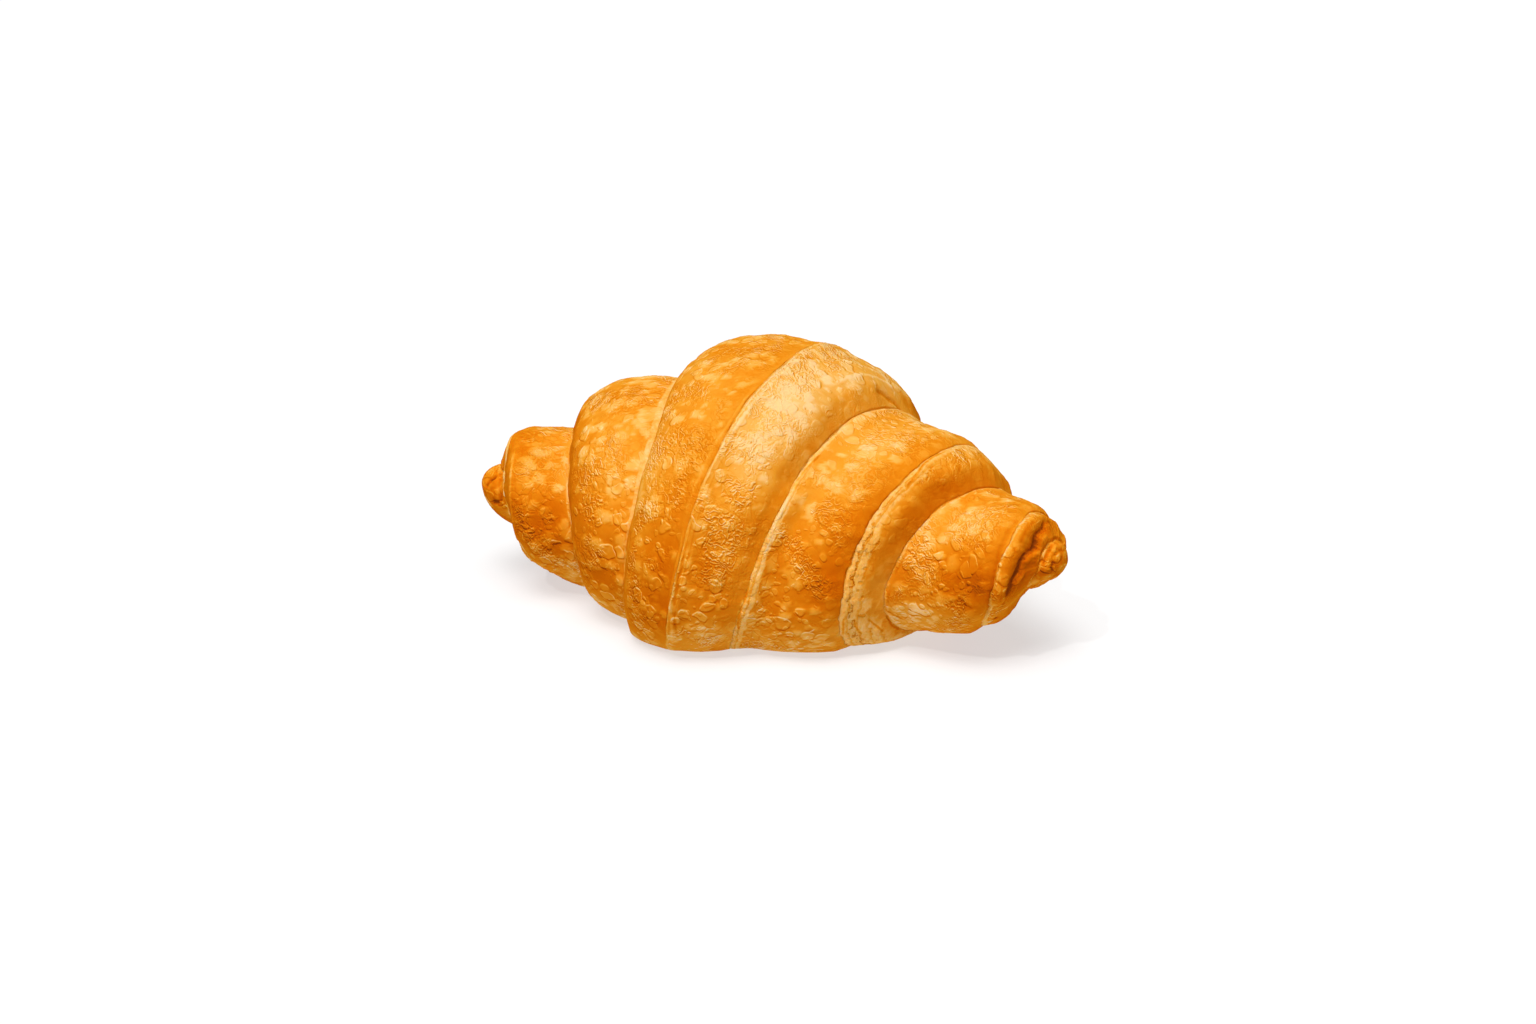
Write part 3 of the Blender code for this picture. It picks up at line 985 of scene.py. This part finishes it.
def crust_finish():
    """Egg washed crust: golden to brown, blistered and wrinkled, dry and pale where it tore."""
    finish = Finish("egg washed crust")
    place = finish.node("TexCoord", output=3)
    speckles = Speckles(
        cloud=finish.speckle(place, 150.0, 1.0),
        mottle=finish.speckle(place, 330.0, 3.0, 0.6),
        tear=finish.speckle(place, 800.0, 3.0, 0.65),
        freckle=finish.speckle(place, 1200.0, 2.0, 0.6),
        grain=finish.speckle(place, 2600.0, 2.0),
    )
    torn = torn_dough(finish, place, speckles)
    folds = [
        finish.read_folds(index, speckles.tear + speckles.mottle * 0.8)
        for index in range(FOLD_SETS)
    ]

    # The fine blisters thin out beside the lips. Where they stand higher than they do one step
    # towards the light, the skin faces it and gets painted light, and where lower, painted shade.
    open_skin = finish.step(finish.read("under"), *CLEAR_OF_LIP) * 0.75 + 0.25
    puckered = finish.read("puckered")
    wrinkled = finish.step(speckles.cloud + puckered * 0.26, 0.0, 0.2) * open_skin
    where_cells = finish.step(finish.speckle(place, 95.0, 1.0), 0.0, 0.12) * open_skin
    covers = (open_skin, where_cells, wrinkled)
    raised = blistering(finish, place, *covers)
    towards_light = blistering(finish, finish.read_vector("lit place"), *covers)
    height = raised.height()
    turned_up = height - towards_light.height()

    skin = skin_tone(finish, speckles, raised, turned_up, wrinkled)
    skin = skin + torn.sheet_end * 0.2 - torn.sheet_top * 0.12
    dough = dough_tone(finish, speckles, torn.sheet_end)
    tone = skin * (1.0 - torn.stretched) + dough * torn.stretched
    # The folds' tones paint shade into their grooves and a highlight onto their ridges.
    tone = tone + torn.crack * 0.42 + torn.pits * 0.26 + sum(browning_and_light for browning_and_light, _ in folds)

    relief = height + speckles.mottle * 0.2 + speckles.grain * 0.04
    relief = relief + speckles.freckle * (torn.stretched * 0.4 + 0.08)
    relief = relief - torn.crack * 0.5 - torn.sheet_end * 0.2 - torn.pits * 0.4
    relief = relief + sum(lift for _, lift in folds) * 0.32

    finish.wear(
        Base_Color=finish.node("ValToRGB", {"stops": CRUST_TONES}, Fac=tone * 0.8),
        Normal=finish.node("Bump", Height=relief, Strength=1.0, Distance=RELIEF_DEPTH),
        Roughness=torn.stretched * 0.25 + speckles.mottle * 0.2 + 0.27,
        Subsurface_Weight=0.3,
        Subsurface_Radius=(1.0, 0.4, 0.2),
        Subsurface_Scale=LIGHT_REACH,
        Specular_IOR_Level=0.0,
    )
    return finish.material


crust_data.materials.append(crust_finish())
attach(crust, "root")
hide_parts("croissant")

# ---------------------------------------------------------------------------------------------
# The table and the light: a white top that is lit evenly, two broad lights above and in front,
# and a narrow one that picks out the blisters.
# ---------------------------------------------------------------------------------------------

FLOOR_SIZE = 6.0
FLOOR_WHITE = (0.32, 0.32, 0.32)
FLOOR_GLOW = 0.59
SKY_STRENGTH = 0.2

floor_mesh = bmesh.new()
bmesh.ops.create_grid(floor_mesh, x_segments=1, y_segments=1, size=FLOOR_SIZE / 2)
floor_data = bpy.data.meshes.new("floor")
floor_mesh.to_mesh(floor_data)
floor_mesh.free()
floor = bpy.data.objects.new("floor", floor_data)
bpy.context.scene.collection.objects.link(floor)
floor_finish = Finish("white table")
floor_finish.wear(
    Base_Color=(*FLOOR_WHITE, 1.0),
    Emission_Color=(1.0, 1.0, 1.0, 1.0),
    Emission_Strength=FLOOR_GLOW,
    Roughness=0.9,
    Specular_IOR_Level=0.1,
)
floor_data.materials.append(floor_finish.material)

world = bpy.data.worlds.new("studio")
world.use_nodes = True
sky = world.node_tree.nodes["Background"]
sky.inputs["Color"].default_value = (1.0, 1.0, 1.0, 1.0)
sky.inputs["Strength"].default_value = SKY_STRENGTH
bpy.context.scene.world = world
bpy.context.scene.view_settings.view_transform = "Standard"


def direction(azimuth, elevation):
    """The way from the roll to this azimuth from its front and this elevation, in degrees."""
    turned, height = math.radians(azimuth), math.radians(elevation)
    level = math.cos(height)
    return Vector((math.sin(turned) * level, -math.cos(turned) * level, math.sin(height)))


def far_light(name, azimuth, elevation, strength, spread):
    """A far light, as wide as its spread in degrees: broad ones cast soft shadows."""
    light = bpy.data.lights.new(name, "SUN")
    light.energy = strength
    light.angle = math.radians(spread)
    lamp = bpy.data.objects.new(name, light)
    lamp.rotation_euler = (-direction(azimuth, elevation)).to_track_quat("-Z", "Y").to_euler()
    bpy.context.scene.collection.objects.link(lamp)


far_light("overhead light", 17, 74, 2.05, 40)
far_light("key light", 8, 62, 1.3, 24)
far_light("sparkle light", -10, 50, 0.85, 2)

# ---------------------------------------------------------------------------------------------
# The camera: an 85 mm lens that looks down on the roll from the front and a little to the right.
# ---------------------------------------------------------------------------------------------

CAMERA_AZIMUTH = 22.15
CAMERA_ELEVATION = 22
CAMERA_DISTANCE = 0.720
CAMERA_AIM = Vector((-1.65, -2.72, 20.8)) * MM

back = direction(CAMERA_AZIMUTH, CAMERA_ELEVATION)
lens = bpy.data.cameras.new("camera")
lens.lens = 85
lens.sensor_width = 36
lens.clip_start = 0.01
camera = bpy.data.objects.new("camera", lens)
camera.location = CAMERA_AIM + back * CAMERA_DISTANCE
camera.rotation_euler = (-back).to_track_quat("-Z", "Y").to_euler()
bpy.context.scene.collection.objects.link(camera)
bpy.context.scene.camera = camera
